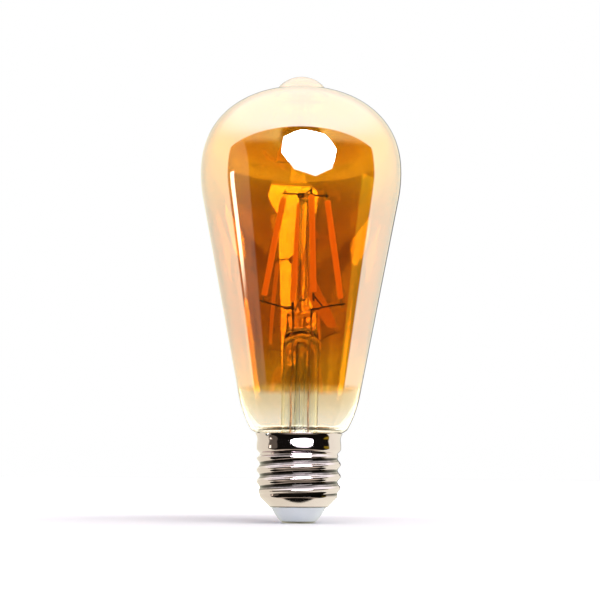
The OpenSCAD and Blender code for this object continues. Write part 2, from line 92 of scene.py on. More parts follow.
# ---- Stem, wires and filaments, in millimetres and degrees ----
LEAN = math.tan(math.radians(1.2))
LEAN_Z = 30.0
FLARE_TOP_Z = 31.0
STEM_R = 5.75
BORE_R = 4.9
PINCH_W = 9.7
PINCH_T = 3.6
PINCH_RIPPLE = 0.12
PINCH_GROOVE = 0.35
POST_R = 1.9
POST_BORE = 1.0
BUTTON_R = 2.85
BUTTON_H = 1.4
EXHAUST_R = 1.7
EXHAUST_BORE = 1.15
EXHAUST_FOOT = 17.6
WIRE_R = 0.26
TOP_WIRE_Z = BUTTON_Z + 0.6 * BUTTON_H
WIRE_PAST_TIP = (0.7, 1.2)
ARM_TIP_Z = 69.2
FILAMENTS = 4
FILAMENT_TURN = 15.0
FILAMENT_TOP_R = 7.0
FILAMENT_FOOT_R = 12.8
FILAMENT_MID_Z = 86.5
FILAMENT_LENGTH = 32.0
SHEATH_R = 1.0
LEAD_X = 2.75
LEAD_SWAY = 0.18
LEAD_STEPS = 24
LEAD_WELD_Z = PINCH_TOP - 2.4

# ---- Cap, in millimetres ----
THREAD_R = 13.1
ROOT_R = 12.13
PITCH = 3.629
THREAD_FOOT = 8.0
THREAD_TOP = 21.4
THREAD_FADE = 2.6
THREAD_RUN_IN = 0.4
THREAD_RUN_OUT = 0.1
CONE_TOP_Z = 8.6
SHEET = 0.3
INSULATOR_TOP_Z = 6.6
CONTACT_R = 5.34
CONTACT_TOP_Z = 0.9
EYELET_R = 1.2
EYELET_BORE = 0.8
EYELET_TOP_Z = 4.2
BEAD_R = 0.6

# ---- Grain of the finishes ----
WEAVE = 9000  # radians a metre
RIDGES_A_TURN = 3

# ---- Camera and studio, in metres and radians ----
VIEW_RISE = math.radians(7.1)
VIEW_ROLL = math.radians(0.45)
VIEW_AIM = Vector((0, 0, 69.8)) * MM
VIEW_DISTANCE = 0.450
FOCAL_OVER_WIDTH = 1422 / 600
SENSOR = 36.0
BOX_TURN = math.radians(9)
BOX_RISE = math.radians(16)
BOX_ROLL = math.radians(-13)
BOX_ACROSS = math.tan(math.radians(29))
BOX_ALONG = math.tan(math.radians(21))
BOX_LIGHT = (17.0, 17.0, 17.0)
BOX_FOOT_LIGHT = (2.4, 2.4, 2.4)
ROOM_TINT = (1.0, 0.87, 0.64)
ROOM_FILL = 0.008
CEILING = (1.0, 0.86, 0.36)
RIGHT_WALL = (0.42, 0.30, 0.015)
WHITE_LEFT = (1.15, 1.12, 0.84)
WHITE_RIGHT = (1.30, 1.30, 1.02)
WHITE_HIGH = (1.62, 1.62, 1.55)
WHITE_DEEP = (1.0, 0.96, 0.80)
DARK_EDGE = (0.12, 0.10, 0.11)
BACKDROP = (1.0, 1.0, 1.0)
SCATTERED = (0.62, 0.60, 0.66)
FLOOR_R = 6.0
FLOOR_WHITE = (0.05, 0.30)


# ---- Shader sheets: sockets with Python's operators ----
class Socket:
    """An output socket on which Python's own operators add Math nodes."""

    def __init__(self, sheet, out):
        self.sheet, self.out = sheet, out

    def maths(self, operation, *values):
        inputs = dict(enumerate(values))
        return self.sheet.node("ShaderNodeMath", {"operation": operation}, inputs)

    def __add__(self, other):
        return self.maths("ADD", self, other)

    def __sub__(self, other):
        return self.maths("SUBTRACT", self, other)

    def __rsub__(self, other):
        return self.maths("SUBTRACT", other, self)

    def __mul__(self, other):
        return self.maths("MULTIPLY", self, other)

    def __truediv__(self, other):
        return self.maths("DIVIDE", self, other)

    def __pow__(self, other):
        return self.maths("POWER", self, other)

    def __neg__(self):
        return self.maths("MULTIPLY", self, -1.0)

    def __abs__(self):
        return self.maths("ABSOLUTE", self)

    def __gt__(self, other):
        return self.maths("GREATER_THAN", self, other)

    def __lt__(self, other):
        return self.maths("LESS_THAN", self, other)

    def sine(self):
        return self.maths("SINE", self)

    def cosine(self):
        return self.maths("COSINE", self)

    def most(self, other):
        return self.maths("MAXIMUM", self, other)

    def ramp(self, low, high):
        """0 at low, 1 at high and smooth between."""
        return self.sheet.node(
            "ShaderNodeMapRange",
            {"interpolation_type": "SMOOTHSTEP"},
            {"Value": self, "From Min": low, "From Max": high},
        )

    __radd__ = __add__
    __rmul__ = __mul__


class Sheet:
    """The node tree of one material, or of the world."""

    def __init__(self, tree):
        self.tree = tree
        tree.nodes.clear()

    def node(self, kind, settings=None, inputs=None, output=0):
        made = self.tree.nodes.new(kind)
        for name, value in (settings or {}).items():
            if name == "stops":
                self.set_stops(made.color_ramp, value)
            else:
                setattr(made, name, value)
        for name, value in (inputs or {}).items():
            if isinstance(value, Socket):
                self.tree.links.new(value.out, made.inputs[name])
            else:
                made.inputs[name].default_value = value
        return Socket(self, made.outputs[output]) if made.outputs else made

    def set_stops(self, ramp, stops):
        while len(ramp.elements) < len(stops):
            ramp.elements.new(0.5)
        for element, (place, colour) in zip(ramp.elements, stops):
            element.position = place
            element.color = (*colour, 1)

    def mix(self, factor, first, second):
        """One colour for another, by a factor."""
        first, second = ((*c, 1) if isinstance(c, tuple) else c for c in (first, second))
        return self.node(
            "ShaderNodeMix", {"data_type": "RGBA"}, {0: factor, 6: first, 7: second}, output=2
        )

    def place(self):
        """Object coordinates, in metres."""
        return self.node("ShaderNodeTexCoord", output=3)

    def parts(self, vector):
        split = self.tree.nodes.new("ShaderNodeSeparateXYZ")
        self.tree.links.new(vector.out, split.inputs[0])
        return [Socket(self, out) for out in split.outputs]

    def noise(self, scale, detail=2.0, stretch=(1, 1, 1), rough=0.5):
        """Fractal noise on object coordinates; scale is in cycles a metre."""
        where = self.node("ShaderNodeMapping", None, {"Vector": self.place(), "Scale": stretch})
        return self.node(
            "ShaderNodeTexNoise",
            None,
            {"Vector": where, "Scale": scale, "Detail": detail, "Roughness": rough},
        )

    def bump(self, height, strength, distance):
        return self.node(
            "ShaderNodeBump",
            None,
            {"Height": height, "Strength": strength, "Distance": distance},
        )


def finish(name, build):
    """A material whose Principled inputs come from build(sheet)."""
    material = bpy.data.materials.new(name)
    material.use_nodes = True
    sheet = Sheet(material.node_tree)
    shader = sheet.node("ShaderNodeBsdfPrincipled", None, build(sheet))
    sheet.node("ShaderNodeOutputMaterial", None, {"Surface": shader})
    return material


# ---- Finishes ----
def amber_coated_glass(sheet):
    """Clear glass under an amber half-mirror coat, which fades out above the cap."""
    height = sheet.parts(sheet.place())[2] / MM
    drift = sheet.noise(90, 3) * 1.4
    coat = (height + drift - 0.7).ramp(COAT_FOOT_Z - 1.2, COAT_FOOT_Z + 1.2)
    # Deeper, redder amber in a band from about 45 to 108 mm up, with ragged edges.
    ragged_height = height + sheet.noise(40, 2) * 16 - 8
    deep_amber_band = ragged_height.ramp(45, 60) * (1 - ragged_height.ramp(92, 108))
    amber = sheet.mix(deep_amber_band, (0.84, 0.29, 0.004), (0.58, 0.095, 0.001))
    clear = sheet.mix(height.ramp(29, 40), (0.85, 0.79, 0.64), (0.71, 0.56, 0.32))
    waves = sheet.noise(60, 2, (1, 1, 0.4))
    return {
        "Base Color": sheet.mix(coat, clear, amber),
        "Roughness": sheet.noise(400, 2) * 0.01,
        "IOR": 1.45,
        "Transmission Weight": 1.0,
        "Coat Weight": coat,
        "Coat IOR": 5.0,
        "Coat Roughness": 0.0,
        "Normal": sheet.bump(waves, 0.06, 0.002),
    }


def inner_glass(sheet):
    return {
        "Base Color": sheet.mix(sheet.noise(80), (1.0, 1.0, 1.0), (0.985, 0.99, 0.985)),
        "Roughness": 0.0,
        "IOR": 1.45,
        "Transmission Weight": 1.0,
        "Normal": sheet.bump(sheet.noise(70, 2, (1, 1, 0.4)), 0.05, 0.002),
    }


def drawn_glass(sheet):
    """Softened stem glass: clear, with faint lengthwise draw lines."""
    height = sheet.parts(sheet.place())[2] / MM
    pressed = height.ramp(STEM_TOP - 1, STEM_TOP + 1) * (1 - height.ramp(PINCH_TOP - 1, PINCH_TOP + 1))
    lines = sheet.noise(900, 2, (1, 1, 0.02)) + sheet.noise(420, 4, (1, 1, 0.7)) * pressed * 9
    return {
        "Base Color": sheet.mix(sheet.noise(120), (0.94, 0.945, 0.90), (0.97, 0.975, 0.94)),
        "Roughness": sheet.noise(300) * 0.03 + 0.03,
        "IOR": 1.5,
        "Specular IOR Level": 0.1,
        "Transmission Weight": 1.0,
        "Normal": sheet.bump(lines, 0.08, 0.0005),
    }


def phosphor(sheet):
    """Silicone loaded with phosphor: matt, grainy, and with a painted orange glow for its fluorescence
    in studio light.
    """
    grain = sheet.noise(2600, 3)
    blotch = sheet.noise(350, 2)
    colour = sheet.mix(blotch, (0.96, 0.50, 0.06), (1.0, 0.60, 0.10))
    return {
        "Base Color": colour,
        "Roughness": grain * 0.2 + 0.42,
        "Subsurface Weight": 0.25,
        "Subsurface Radius": (0.6 * MM, 0.35 * MM, 0.1 * MM),
        # Painted light: a steady orange glow, though the bulb is not lit.
        "Emission Color": sheet.mix(grain, (1.0, 0.30, 0.02), (1.0, 0.36, 0.04)),
        "Emission Strength": 1.3,
        "Normal": sheet.bump(grain, 0.25, 0.0001),
    }


def nickel_plate(sheet):
    """Bright rolled nickel: turning lines, smudges, and painted shade in the thread roots, along a
    crease on each turn and in a band at the lip.
    """
    smudge = sheet.noise(140, 4, rough=0.6)
    x, y, z = sheet.parts(sheet.place())
    height = z / MM
    turn = y.maths("ARCTAN2", y, x) - z * (math.tau / PITCH / MM)
    # Painted shade: the thread roots, a crease on each turn and a band at the lip are coloured near
    # black.
    root = (smudge * 0.5 - turn.cosine()).ramp(0.75, 1.15)
    crease = ((turn + 1.9).cosine() + smudge * 0.3).ramp(1.02, 1.14) * 0.8
    threaded = height.ramp(THREAD_FOOT, THREAD_FOOT + 1) * (1 - height.ramp(THREAD_TOP - 1, THREAD_TOP))
    lip = 1 - height.ramp(CAP_LIP_Z + 0.1, CAP_LIP_Z + 0.5)
    painted_shade = (root.most(crease) * threaded).most(lip)
    ridges = (turn * RIDGES_A_TURN + 0.6).cosine() * threaded * 0.75
    lines = sheet.noise(2200, 2, (0.02, 0.02, 1)) * 0.15
    plate = sheet.mix(smudge, (0.66, 0.575, 0.62), (0.58, 0.505, 0.55))
    return {
        # The near-black colour here is the painted shade.
        "Base Color": sheet.mix(painted_shade, plate, (0.05, 0.045, 0.045)),
        "Metallic": 1.0,
        "Roughness": smudge * 0.10 + 0.03,
        "Normal": sheet.bump(ridges + lines, 1.0, 0.00009),
    }


def moulded_insulator(sheet):
    cloud = sheet.noise(220, 3)
    return {
        "Base Color": sheet.mix(cloud, (0.74, 0.79, 0.83), (0.82, 0.86, 0.89)),
        "Roughness": cloud * 0.12 + 0.18,
        "Subsurface Weight": 0.3,
        "Subsurface Radius": (1.5 * MM, 1.7 * MM, 2.0 * MM),
        "Normal": sheet.bump(sheet.noise(900, 2), 0.05, 0.0002),
    }


def metal(light, dark, low, high, scale):
    """A metal finish whose colour and roughness drift over the surface."""
    def build(sheet):
        drift = sheet.noise(scale, 3)
        return {
            "Base Color": sheet.mix(drift, light, dark),
            "Metallic": 1.0,
            "Roughness": drift * (high - low) + low,
            "Normal": sheet.bump(sheet.noise(scale * 8, 2), 0.08, 0.0001),
        }
    return build


def moulded(light, dark, low, high, scale):
    """A plastic, ceramic or lacquer finish with a fine uneven surface."""
    def build(sheet):
        drift = sheet.noise(scale, 3)
        return {
            "Base Color": sheet.mix(drift, light, dark),
            "Roughness": drift * (high - low) + low,
            "Normal": sheet.bump(sheet.noise(scale * 5, 2), 0.15, 0.0001),
        }
    return build


def circuit_board(light, dark):
    """Resist over a glass-fibre weave, with copper tracks showing through."""
    def build(sheet):
        x, y = sheet.parts(sheet.place())[:2]
        weave = (x * WEAVE).sine() * (y * WEAVE).sine()
        tracks = sheet.node(
            "ShaderNodeTexBrick",
            {"offset": 0.5},
            {"Vector": sheet.place(), "Scale": 420.0, "Mortar Size": 0.03,
             "Color1": (0, 0, 0, 1), "Color2": (0, 0, 0, 1), "Mortar": (1, 1, 1, 1)},
        )
        return {
            "Base Color": sheet.mix(tracks, light, dark),
            "Roughness": sheet.noise(500) * 0.2 + 0.3,
            "Normal": sheet.bump(weave, 0.08, 0.0001),
        }
    return build


def make_finishes():
    recipes = {
        "amber_glass": amber_coated_glass,
        "inner_glass": inner_glass,
        "clear_glass": drawn_glass,
        "phosphor": phosphor,
        "nickel_plate": nickel_plate,
        "insulator": moulded_insulator,
        "nickel_wire": metal((0.10, 0.085, 0.07), (0.06, 0.05, 0.045), 0.35, 0.5, 700),
        "dumet_wire": metal((0.50, 0.30, 0.18), (0.34, 0.19, 0.12), 0.3, 0.5, 700),
        "plated_steel": metal((0.16, 0.14, 0.12), (0.10, 0.09, 0.08), 0.3, 0.45, 900),
        # Partly painted shade: the contact is coloured darker than bright metal, so its edge shows as a
        # dark line under the insulator.
        "contact_metal": metal((0.30, 0.29, 0.27), (0.20, 0.195, 0.18), 0.3, 0.45, 400),
        "solder": metal((0.66, 0.66, 0.67), (0.50, 0.50, 0.52), 0.2, 0.4, 1200),
        "capacitor_can": metal((0.80, 0.80, 0.81), (0.70, 0.70, 0.72), 0.2, 0.35, 500),
        "copper_winding": metal((0.66, 0.30, 0.13), (0.48, 0.20, 0.08), 0.25, 0.4, 1500),
        "radio_shield": metal((0.74, 0.75, 0.77), (0.62, 0.63, 0.65), 0.2, 0.35, 500),
        "cement": moulded((0.22, 0.19, 0.10), (0.13, 0.11, 0.06), 0.75, 0.95, 900),
        "substrate_ceramic": moulded((0.82, 0.82, 0.80), (0.72, 0.72, 0.70), 0.4, 0.6, 900),
        "led_die": moulded((0.85, 0.70, 0.25), (0.75, 0.58, 0.18), 0.15, 0.3, 2000),
        "chip_black": moulded((0.035, 0.035, 0.04), (0.06, 0.06, 0.065), 0.45, 0.65, 1200),
        "pvc_sleeve": moulded((0.06, 0.08, 0.18), (0.09, 0.11, 0.22), 0.25, 0.4, 500),
        "ferrite": moulded((0.09, 0.09, 0.10), (0.15, 0.15, 0.16), 0.6, 0.8, 1500),
        "resistor_body": moulded((0.36, 0.50, 0.45), (0.30, 0.42, 0.38), 0.3, 0.5, 900),
        "glass_sleeving": moulded((0.80, 0.80, 0.76), (0.62, 0.62, 0.58), 0.8, 0.95, 2500),
        "chip_ceramic": moulded((0.55, 0.44, 0.28), (0.45, 0.35, 0.22), 0.4, 0.6, 1500),
        "aerial_insulation": moulded((0.20, 0.20, 0.22), (0.26, 0.26, 0.28), 0.35, 0.5, 900),
        "live_insulation": moulded((0.52, 0.06, 0.04), (0.42, 0.04, 0.03), 0.3, 0.45, 900),
        "neutral_insulation": moulded((0.05, 0.05, 0.055), (0.08, 0.08, 0.09), 0.3, 0.45, 900),
        "board_green": circuit_board((0.05, 0.22, 0.09), (0.12, 0.34, 0.12)),
        "board_blue": circuit_board((0.03, 0.10, 0.22), (0.07, 0.20, 0.34)),
    }
    return {name: finish(name, build) for name, build in recipes.items()}


FINISHES = make_finishes()


# ---- Outlines: lists of (radius, height) in millimetres ----
def arc(centre, radius, start, end, steps):
    angles = (math.radians(start + (end - start) * i / steps) for i in range(steps + 1))
    return [
        (centre[0] + radius * math.cos(a), centre[1] + radius * math.sin(a)) for a in angles
    ]


def curve(p0, p1, p2, p3, steps):
    """A cubic curve from p0 to p3, without its first point."""
    points = []
    for i in range(1, steps + 1):
        t, u = i / steps, 1 - i / steps
        weights = (u**3, 3 * u * u * t, 3 * u * t * t, t**3)
        points.append(
            tuple(sum(w * p[k] for w, p in zip(weights, (p0, p1, p2, p3))) for k in (0, 1))
        )
    return points


def straight(start, end, steps):
    """A straight line from start to end, without its first point."""
    return [
        tuple(start[k] + (end[k] - start[k]) * i / steps for k in (0, 1))
        for i in range(1, steps + 1)
    ]


def smooth(value, low, high):
    """0 at low, 1 at high and smooth between."""
    t = min(1.0, max(0.0, (value - low) / (high - low)))
    return t * t * (3 - 2 * t)


def on_arc(centre, radius, angle):
    """The point of a circle at an angle."""
    return arc(centre, radius, angle, angle, 1)[0]


def glass_outline():
    """The outside of the glass, from the foot of the neck to the tip."""
    belly = (GLASS_R - BELLY_BLEND, BELLY_Z)
    taper_top = on_arc(belly, BELLY_BLEND, -TAPER)
    drop = (taper_top[1] - BOWL_Z) * math.tan(math.radians(TAPER))
    foot = (taper_top[0] - drop, BOWL_Z)
    bowl = on_arc(foot, -BOWL_BLEND, -TAPER)
    bowl_end = on_arc(bowl, BOWL_BLEND, -BOWL_END)
    heel = on_arc(bowl_end, -HEEL_R, -BOWL_END)
    heel_end = on_arc(heel, HEEL_R, -HEEL_END)
    lean = math.radians(HEEL_END)
    throat_start = (
        heel_end[0] - HEEL_RUN * math.sin(lean), heel_end[1] - HEEL_RUN * math.cos(lean)
    )
    throat = on_arc(throat_start, THROAT_R, -HEEL_END)
    points = [(NECK_R, NECK_FOOT), (NECK_R, NECK_BEND_Z)]
    points += arc(throat, THROAT_R, 180, 180 - HEEL_END, 8)
    points += arc(heel, HEEL_R, -HEEL_END, -BOWL_END, 8)
    points += arc(bowl, BOWL_BLEND, -BOWL_END + 1, -TAPER, 16)
    points += straight(foot, taper_top, 14)[:-1]
    points += arc(belly, BELLY_BLEND, -TAPER, 0, 12)
    points += crown_and_nub()
    return points


def crown_and_nub():
    """The superellipse of the crown, blended into the round nub."""
    last = math.acos((CROWN_EDGE / GLASS_R) ** (CROWN_POWER / 2))
    steps = 44
    points = []
    for i in range(1, steps + 1):
        a = last * i / steps
        points.append((
            GLASS_R * math.cos(a) ** (2 / CROWN_POWER),
            BELLY_Z + CROWN_H * math.sin(a) ** (2 / CROWN_POWER),
        ))
    edge, before = points[-1], points[-2]
    run = Vector((edge[0] - before[0], edge[1] - before[1])).normalized()
    nub = (0, BULB_TOP - NUB_R)
    start = on_arc(nub, NUB_R, 90 - NUB_ANGLE)
    turn = math.radians(NUB_ANGLE)
    pull = 0.45 * math.dist(start, edge)
    points += curve(
        edge,
        (edge[0] + pull * run.x, edge[1] + pull * run.y),
        (start[0] + pull * math.cos(turn), start[1] - pull * math.sin(turn)),
        start,
        14,
    )
    points += arc(nub, NUB_R, 90 - NUB_ANGLE + 4, 90, 10)
    return points


def moved_in(points, depth):
    """The outline moved in by the wall thickness, square to itself."""
    inner = []
    for i, point in enumerate(points):
        before, after = points[max(i - 1, 0)], points[min(i + 1, len(points) - 1)]
        run = Vector((after[0] - before[0], after[1] - before[1])).normalized()
        inner.append((max(0.0, point[0] - depth * run.y), point[1] + depth * run.x))
    inner[0] = (points[0][0] - depth, points[0][1])
    inner[-1] = (0.0, points[-1][1] - depth)
    return inner


# ---- Mesh helpers ----
def turned(outline, steps=96, material=0, bm=None):
    """Spins an outline about the Z axis into bm, in millimetres."""
    bm = bm or bmesh.new()
    verts = [bm.verts.new((r, 0, z)) for r, z in outline]
    edges = [bm.edges.new(pair) for pair in zip(verts, verts[1:])]
    known = set(bm.faces)
    bmesh.ops.spin(
        bm, geom=verts + edges, cent=(0, 0, 0), axis=(0, 0, 1), angle=math.tau, steps=steps,
        use_merge=True,
    )
    for face in set(bm.faces) - known:
        face.material_index = material
    return bm


def closed(bm, hollow=False):
    """Merges seams and poles, and turns the faces outwards, or inwards for a cavity."""
    bmesh.ops.remove_doubles(bm, verts=bm.verts, dist=1e-4)
    bmesh.ops.dissolve_degenerate(bm, edges=bm.edges, dist=1e-5)
    bmesh.ops.recalc_face_normals(bm, faces=bm.faces)
    if hollow:
        bmesh.ops.reverse_faces(bm, faces=bm.faces)
    return bm


def add_mesh(bm, other):
    """Adds one bmesh to another."""
    spare = bpy.data.meshes.new("spare")
    other.to_mesh(spare)
    bm.from_mesh(spare)
    bpy.data.meshes.remove(spare)


def piece(name, bm, finishes, slot, *nodes):
    """Turns a bmesh in millimetres into a finished piece that stands for CAD nodes."""
    bmesh.ops.scale(bm, vec=(MM, MM, MM), verts=bm.verts)
    for face in bm.faces:
        face.smooth = True
    mesh = bpy.data.meshes.new(name)
    bm.to_mesh(mesh)
    bm.free()
    thing = bpy.data.objects.new(name, mesh)
    bpy.context.scene.collection.objects.link(thing)
    for finish_name in finishes:
        mesh.materials.append(FINISHES[finish_name])
    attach(thing, "root")
    if nodes:
        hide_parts(*nodes)
    return thing


def lean(point):
    """Where a point of the upright stem lies on the leaning one."""
    x, y, z = point
    return Vector((x + max(0.0, z - LEAN_Z) * LEAN, y, z))


def lean_all(bm):
    for vert in bm.verts:
        vert.co = lean(vert.co)


def rod(bm, path, radius, sides=12):
    """A round wire along a path, with round ends: rings set square to the path and bridged."""
    rings = []
    points = [Vector(p) for p in path]
    for i, point in enumerate(points):
        run = (points[min(i + 1, len(points) - 1)] - points[max(i - 1, 0)]).normalized()
        turn = run.to_track_quat("Z", "Y").to_matrix().to_4x4()
        made = bmesh.ops.create_circle(
            bm, segments=sides, radius=radius, cap_ends=False, matrix=Matrix.Translation(point) @ turn
        )
        rings.append(made["verts"])
    for first, second in zip(rings, rings[1:]):
        edges = [e for ring in (first, second) for v in ring for e in v.link_edges
                 if e.other_vert(v) in ring]
        bmesh.ops.bridge_loops(bm, edges=list(set(edges)))
    ends = ((rings[0], points[0] - points[1]), (rings[-1], points[-1] - points[-2]))
    for ring, outward in ends:
        cap = bmesh.ops.contextual_create(bm, geom=ring)["faces"]
        bmesh.ops.inset_individual(bm, faces=cap, thickness=radius * 0.45)
        bmesh.ops.translate(bm, vec=outward.normalized() * radius * 0.5, verts=cap[0].verts)
    return bm


def bent(points, radius, steps=5):
    """A path whose corners are rounded."""
    points = [Vector(p) for p in points]
    path = [points[0]]
    for before, corner, after in zip(points, points[1:], points[2:]):
        start = corner + (before - corner).normalized() * radius
        end = corner + (after - corner).normalized() * radius
        for i in range(steps + 1):
            t = i / steps
            path.append(start * (1 - t) ** 2 + corner * (2 * t * (1 - t)) + end * t * t)
    path.append(points[-1])
    return path


# ---- Glass ----
def make_bulb_glass():
    outer = glass_outline()
    inner = moved_in(outer, WALL)
    bm = turned(outer, 160)
    turned([outer[0]] + inner, 160, 1, bm)
    closed(bm)
    return piece("bulb_glass", bm, ("amber_glass", "inner_glass"), "amber_glass", "glass_envelope")


def pinch_thickness(z):
    """Half the thickness of the stem glass at a height."""
    flat = smooth(z, STEM_TOP - 2.5, STEM_TOP + 2.2)
    return STEM_R + (PINCH_T / 2 - STEM_R) * flat


def stem_outline():
    """Trumpet, tube, pinch, post and button, from the neck to the top."""
    seal_r, half = NECK_R - WALL, PINCH_W / 2
    tube_top, pinch_foot = (STEM_R, STEM_TOP - 4), (half, STEM_TOP + 3)
    pinch_end, post_foot = (half, PINCH_TOP - 1.2), (POST_R, PINCH_TOP + 2.2)
    post_top, button_edge = (POST_R, BUTTON_Z - 1.2), (BUTTON_R, BUTTON_Z + 0.5)
    button_top = BUTTON_Z + BUTTON_H
    points = [(seal_r, NECK_FOOT), (seal_r, NECK_FOOT + 1.2)]
    points += curve(points[-1], (8, 22), (STEM_R, 24), (STEM_R, FLARE_TOP_Z), 14)
    points += straight(points[-1], tube_top, 12)
    points += curve(tube_top, (STEM_R, STEM_TOP - 1), (half + 0.2, STEM_TOP + 1), pinch_foot, 10)
    points += straight(pinch_foot, pinch_end, 5)
    points += curve(pinch_end, (half, PINCH_TOP - 0.2), (POST_R + 0.2, PINCH_TOP - 0.6), post_foot, 12)
    points += straight(post_foot, post_top, 16)
    points += curve(post_top, (POST_R, BUTTON_Z - 0.3), (BUTTON_R, BUTTON_Z - 0.6), button_edge, 8)
    shoulder = (BUTTON_R * 0.7, button_top)
    points += curve(button_edge, (BUTTON_R, BUTTON_Z + 1.3), shoulder, (0, button_top), 10)
    return points


def bore_outline():
    """The inside of the stem tube, closed at the pinch."""
    foot, bore_end = (NECK_R - WALL - 0.7, NECK_FOOT), (BORE_R, STEM_TOP - 5)
    roof_z = STEM_TOP - 0.6
    points = [foot]
    points += curve(foot, (7.6, 21.4), (BORE_R, 23), (BORE_R, FLARE_TOP_Z), 14)
    points += straight(points[-1], bore_end, 12)
    points += curve(bore_end, (BORE_R, STEM_TOP - 1.5), (BORE_R * 0.6, roof_z), (0, roof_z), 8)
    return points


def post_bore_outline():
    """The closed gap inside the post tube."""
    foot, top = (POST_BORE, PINCH_TOP + 4), (POST_BORE, BUTTON_Z - 1)
    points = [(0, PINCH_TOP + 3), (POST_BORE * 0.7, PINCH_TOP + 3.2), foot]
    points += straight(foot, top, 12)
    return points + [(POST_BORE * 0.6, BUTTON_Z - 0.5), (0, BUTTON_Z - 0.3)]


def press_flat(x, y, z):
    """Where a point of the round stem lies once the pinch is pressed flat, grooved and rippled."""
    thin = min(1.0, pinch_thickness(z) / max(math.hypot(x, y), PINCH_T / 2))
    groove = PINCH_GROOVE * math.exp(-(x / 1.1) ** 2) * smooth(z, STEM_TOP, STEM_TOP + 3)
    groove *= 1 - smooth(z, PINCH_TOP - 3, PINCH_TOP - 1)
    ripple = PINCH_RIPPLE * math.sin(z * 2.3 + 1.3 * math.copysign(1, y))
    ripple *= smooth(z, STEM_TOP, STEM_TOP + 2) * (1 - smooth(z, PINCH_TOP - 1, PINCH_TOP + 1))
    return Vector((x, y * thin * (1 - groove) + ripple, z))


def make_stem_glass():
    bm = turned(stem_outline(), 64)
    for vert in bm.verts:
        if STEM_TOP - 3 < vert.co.z < PINCH_TOP + 2.2:
            vert.co = press_flat(*vert.co)
    turned([(NECK_R - WALL, NECK_FOOT)] + bore_outline(), 64, 0, bm)
    closed(bm)
    gap = closed(turned(post_bore_outline(), 32), hollow=True)
    add_mesh(bm, gap)
    gap.free()
    lean_all(bm)
    return piece("stem_glass", bm, ("clear_glass",), "clear_glass",
                 "stem_flare", "stem_pinch", "stem_post", "post_button")


def make_exhaust_tube():
    top = STEM_TOP - 1.6
    outer = arc((0, EXHAUST_FOOT + EXHAUST_R), EXHAUST_R, -90, 0, 8)
    outer += straight(outer[-1], (EXHAUST_R, top), 16)
    inner = [(EXHAUST_BORE, top)]
    inner += straight(inner[0], (EXHAUST_BORE, EXHAUST_FOOT + 2 * EXHAUST_R), 16)
    inner += [(EXHAUST_BORE * 0.6, EXHAUST_FOOT + 1.4 * EXHAUST_R), (0, EXHAUST_FOOT + 1.2 * EXHAUST_R)]
    bm = closed(turned(outer + inner, 40))
    lean_all(bm)
    return piece("exhaust_glass", bm, ("clear_glass",), "clear_glass", "exhaust_tube")


# ---- Wires ----
def filament_angle(i):
    return math.radians(FILAMENT_TURN + 180 + i * 360 / FILAMENTS)


def around(radius, angle, z):
    return Vector((radius * math.cos(angle), radius * math.sin(angle), z))


def make_support_wires():
    bm = bmesh.new()
    for i in range(FILAMENTS):
        a = filament_angle(i)
        sag = 0.15 if i % 2 else -0.1
        path = [around(1.2, a, TOP_WIRE_Z), around(3.4, a, TOP_WIRE_Z + sag),
                around(5.5, a, TOP_WIRE_Z + sag * 1.5),
                around(FILAMENT_TOP_R + WIRE_PAST_TIP[0], a, TOP_WIRE_Z)]
        rod(bm, [lean(p) for p in path], WIRE_R)
    closed(bm)
    return piece("support_wires", bm, ("nickel_wire",), "nickel_wire", "top_support_wires")


def make_arms(name, side, node):
    """A lead that leaves one side of the pinch and forks to the feet of two filaments."""
    bm = bmesh.new()
    root_z = PINCH_TOP + 0.7
    fork_x = side * (PINCH_W / 2 + 0.3)
    first = math.radians(FILAMENT_TURN + (0 if side > 0 else 180))
    fork = Vector((fork_x, 0, root_z))
    stalk = [(side * LEAD_X, 0, LEAD_WELD_Z), (side * LEAD_X, 0, root_z), fork]
    rod(bm, [lean(p) for p in bent(stalk, 0.8)], WIRE_R * 1.2)
    for a in (first, first - math.pi / 2):
        tip = around(FILAMENT_FOOT_R + WIRE_PAST_TIP[1], a, ARM_TIP_Z)
        out = fork + Vector((side * 1.4, 0, 0.5))
        path = bent([fork - Vector((side * 0.6, 0, 0)), out, tip], 1.0)
        rod(bm, [lean(p) for p in path], WIRE_R)
    ball = bmesh.ops.create_uvsphere(bm, u_segments=16, v_segments=10, radius=0.42)
    bmesh.ops.translate(bm, vec=lean(fork), verts=ball["verts"])
    bmesh.ops.recalc_face_normals(bm, faces=bm.faces)
    return piece(name, bm, ("nickel_wire",), "nickel_wire", node)


def make_lead(name, side, node):
    """A lead that climbs the stem tube from the board into the pinch, a little wavy."""
    path = []
    for i in range(LEAD_STEPS + 1):
        z = BOARD_TOP + (LEAD_WELD_Z - BOARD_TOP) * i / LEAD_STEPS
        sway = LEAD_SWAY * math.sin(i * 0.9 + side)
        path.append(lean((side * LEAD_X + sway, 0.5 * sway, z)))
    bm = closed(rod(bmesh.new(), path, WIRE_R))
    return piece(name, bm, ("dumet_wire",), "dumet_wire", node)


